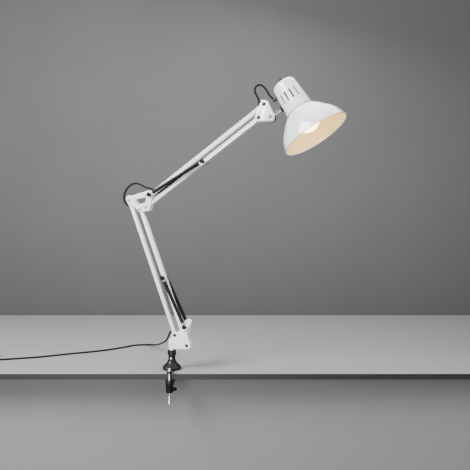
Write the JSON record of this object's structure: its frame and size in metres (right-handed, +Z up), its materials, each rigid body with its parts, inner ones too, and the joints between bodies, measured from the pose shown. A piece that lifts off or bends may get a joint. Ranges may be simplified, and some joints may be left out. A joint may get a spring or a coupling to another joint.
{
  "type": "swing arm desk lamp",
  "caption": "white swing arm desk lamp with a black table clamp, sprung parallelogram arms, a tilting spun shade with a vented housing, and a black mains lead",
  "frame": {"origin": "on the swivel axis, on the face of the upper pad that stands on the table", "axes": "+Z up along the swivel axis; the arms' plane is XZ at rest, with the shade towards +X"},
  "size_m": [1.0936, 0.3697, 0.7953],
  "materials": {
    "white_paint": "gloss white paint",
    "shade_paint": "gloss pale grey-white paint outside, cream inside",
    "black_casting": "black satin paint",
    "black_plastic": "black satin",
    "black_rubber": "matte",
    "cord": "black flexible lead",
    "bright_steel": "bright plated steel",
    "steel": "plain steel",
    "black_steel": "black-finished steel",
    "nylon": "natural nylon",
    "spring_steel": "spring wire",
    "brass": "threaded shell",
    "bulb_glass": "frosted"
  },
  "bodies": {
    "clamp": {"upper_jaw": "black_casting", "upper_pad": "black_rubber", "socket_bush": "nylon", "lock_screw": "bright_steel", "clamp_rod": "bright_steel", "mains_cord": "cord", "mains_coil": "cord", "mains_plug": "black_plastic"},
    "jaw": {"lower_jaw": "black_casting", "lower_pad": "black_rubber"},
    "wing": {"wing_nut": "black_plastic"},
    "base": {"base_post": "white_paint", "base_plate_front": "white_paint", "base_plate_rear": "white_paint", "base_pivot_bolts": "black_steel", "base_washers": "nylon", "base_spring_anchors": "black_plastic"},
    "lower_back": {"lower_tube_rear": "white_paint", "lower_cord_bushes": "black_rubber", "lower_inner_lead": "cord"},
    "lower_front": {"lower_tube_front": "white_paint", "lower_spring_pin": "black_plastic"},
    "lower_spring": {"lower_spring_sleeves": "black_plastic", "lower_springs": "spring_steel"},
    "lower_hook": {"lower_spring_hooks": "spring_steel"},
    "elbow": {"elbow_plate_front": "white_paint", "elbow_plate_rear": "white_paint", "elbow_pivot_bolts": "steel", "elbow_washers": "nylon", "elbow_spring_pin": "black_plastic", "elbow_cord": "cord"},
    "upper_top": {"upper_tube_top": "white_paint", "upper_cord_bushes": "black_rubber", "upper_inner_lead": "cord"},
    "upper_bottom": {"upper_tube_bottom": "white_paint", "upper_spring_pin": "black_plastic"},
    "upper_spring": {"upper_spring_sleeves": "black_plastic", "upper_springs": "spring_steel"},
    "upper_hook": {"upper_spring_hooks": "spring_steel"},
    "wrist": {"wrist_plate_front": "white_paint", "wrist_plate_rear": "white_paint", "wrist_pivot_bolts": "black_steel", "wrist_washers": "nylon", "tilt_bolt": "bright_steel", "wrist_cord": "cord"},
    "knob": {"tilt_knob": "black_plastic"},
    "knuckle": {"head_rod": "bright_steel", "rod_nut": "steel"},
    "head": {"housing": "white_paint", "shade": "shade_paint", "shade_ring": "black_plastic", "lamp_holder": "black_plastic", "socket_shell": "brass", "bulb_glass": "bulb_glass", "bulb_cap": "steel", "switch_collar": "black_plastic", "rod_collar": "black_plastic", "head_relief": "black_rubber"},
    "switch": {"switch_button": "black_plastic"}
  },
  "joints": [
    {"name": "jaw_slide", "type": "slide", "parent": "clamp", "child": "jaw", "axis": [0, 0, 1], "range_m": [-0.028, 0.01]},
    {"name": "wing_turn", "type": "hinge", "parent": "jaw", "child": "wing", "pos_m": [0.0171, -0.04698, -0.036], "axis": [0, 0, 1], "continuous": true},
    {"name": "swivel", "type": "hinge", "parent": "clamp", "child": "base", "pos_m": [0, 0, 0.03], "axis": [0, 0, 1], "range_deg": [-170, 170], "deforming": ["mains_cord"]},
    {"name": "lower_arm", "type": "hinge", "parent": "base", "child": "lower_back", "pos_m": [0.011, 0, 0.0895], "axis": [0, 1, 0], "range_deg": [-12, 50], "deforming": ["mains_cord"]},
    {"name": "lower_link", "type": "hinge", "parent": "base", "child": "lower_front", "pos_m": [0.045, 0, 0.065], "axis": [0, 1, 0], "range_deg": [-12, 50]},
    {"name": "elbow", "type": "hinge", "parent": "lower_back", "child": "elbow", "pos_m": [-0.124, 0, 0.43936], "axis": [0, 1, 0], "range_deg": [-50, 12], "deforming": ["elbow_cord"]},
    {"name": "lower_spring_lean", "type": "hinge", "parent": "lower_front", "child": "lower_spring", "pos_m": [-0.02088, 0, 0.23573], "axis": [0, 1, 0], "range_deg": [-4, 16.6]},
    {"name": "lower_hook_lean", "type": "hinge", "parent": "base", "child": "lower_hook", "pos_m": [0.041, 0, 0.1125], "axis": [0, 1, 0], "range_deg": [-16, 66.6]},
    {"name": "upper_arm", "type": "hinge", "parent": "elbow", "child": "upper_top", "pos_m": [-0.0605, 0, 0.45136], "axis": [0, 1, 0], "range_deg": [-10, 40], "deforming": ["elbow_cord"]},
    {"name": "upper_link", "type": "hinge", "parent": "elbow", "child": "upper_bottom", "pos_m": [-0.0738, 0, 0.41966], "axis": [0, 1, 0], "range_deg": [-10, 40]},
    {"name": "wrist", "type": "hinge", "parent": "upper_top", "child": "wrist", "pos_m": [0.25002, 0, 0.6616], "axis": [0, 1, 0], "range_deg": [-40, 10], "deforming": ["wrist_cord"]},
    {"name": "upper_spring_lean", "type": "hinge", "parent": "upper_bottom", "child": "upper_spring", "pos_m": [0.09016, 0, 0.53066], "axis": [0, 1, 0], "range_deg": [-1.1, 4.4]},
    {"name": "upper_hook_lean", "type": "hinge", "parent": "elbow", "child": "upper_hook", "pos_m": [-0.0605, 0, 0.45136], "axis": [0, 1, 0], "range_deg": [-11.1, 44.4]},
    {"name": "knob_turn", "type": "hinge", "parent": "wrist", "child": "knob", "pos_m": [0.26552, 0.01, 0.6301], "axis": [0, 1, 0], "continuous": true},
    {"name": "tilt", "type": "hinge", "parent": "wrist", "child": "knuckle", "pos_m": [0.26552, 0, 0.6301], "axis": [0, 1, 0], "range_deg": [-15, 50], "deforming": ["wrist_cord"]},
    {"name": "roll", "type": "hinge", "parent": "knuckle", "child": "head", "pos_m": [0.26552, 0, 0.6301], "axis": [0.848, 0, 0.5299], "range_deg": [-80, 80], "deforming": ["wrist_cord"]},
    {"name": "switch_press", "type": "slide", "parent": "head", "child": "switch", "axis": [0.5299, 0, -0.848], "range_m": [0, 0.0012], "stiffness_N_per_m": 400, "springref_m": -0.0005}
  ],
  "couplings": [
    {"joint": "lower_link", "follows": "lower_arm", "ratio": 1},
    {"joint": "elbow", "follows": "lower_arm", "ratio": -1},
    {"joint": "lower_spring_lean", "follows": "lower_arm", "ratio": 0.329},
    {"joint": "lower_hook_lean", "follows": "lower_arm", "ratio": 1.329},
    {"joint": "upper_link", "follows": "upper_arm", "ratio": 1},
    {"joint": "wrist", "follows": "upper_arm", "ratio": -1},
    {"joint": "upper_spring_lean", "follows": "upper_arm", "ratio": 0.108},
    {"joint": "upper_hook_lean", "follows": "upper_arm", "ratio": 1.108}
  ]
}
